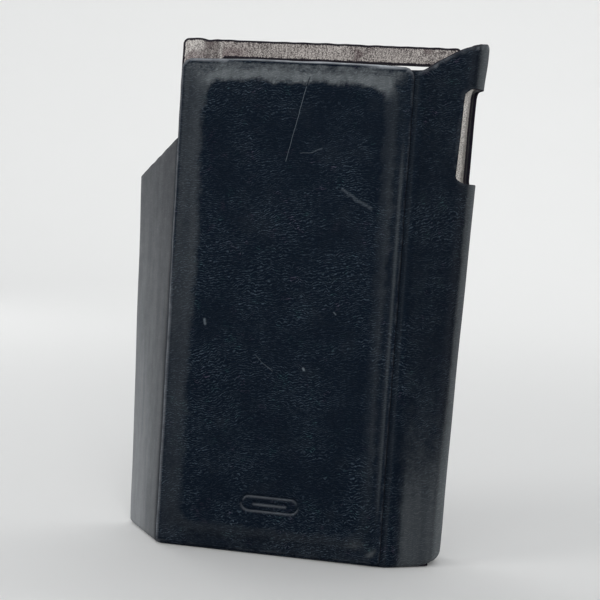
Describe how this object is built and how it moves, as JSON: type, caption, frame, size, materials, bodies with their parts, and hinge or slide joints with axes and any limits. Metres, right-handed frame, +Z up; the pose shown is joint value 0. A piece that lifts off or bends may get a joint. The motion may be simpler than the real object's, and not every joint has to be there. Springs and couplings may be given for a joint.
{
  "type": "fitted leather player case",
  "caption": "Open-topped fitted leather case for a pocket music player, with a moulded back panel, screen window, wheel recess and button notch.",
  "frame": {"origin": "centre of the bounding box at the closed end that the case stands on", "axes": "+Z up through the open mouth, -Y out of the moulded back panel, +Y out of the screen window, +X towards the button notch"},
  "size_m": [0.0795, 0.02, 0.1164],
  "materials": {
    "leather": "semi-gloss fine-grained blue-black leather, painted edges",
    "board": "thin stiffener board",
    "felt_lining": "warm grey brushed microfibre felt",
    "pad": "dense felt pad"
  },
  "bodies": {
    "root": {"back_body_leather": "leather", "back_body_board": "board", "back_body_lining": "felt_lining", "left_wall_leather": "leather", "left_wall_board": "board", "left_wall_lining": "felt_lining", "right_bevel_leather": "leather", "right_bevel_board": "board", "right_bevel_lining": "felt_lining", "right_side_leather": "leather", "right_side_board": "board", "right_side_lining": "felt_lining", "front_frame_leather": "leather", "front_frame_board": "board", "front_frame_lining": "felt_lining", "bottom_leather": "leather", "bottom_board": "board", "bottom_lining": "felt_lining", "back_panel_leather": "leather", "back_panel_pad": "pad"}
  },
  "joints": []
}
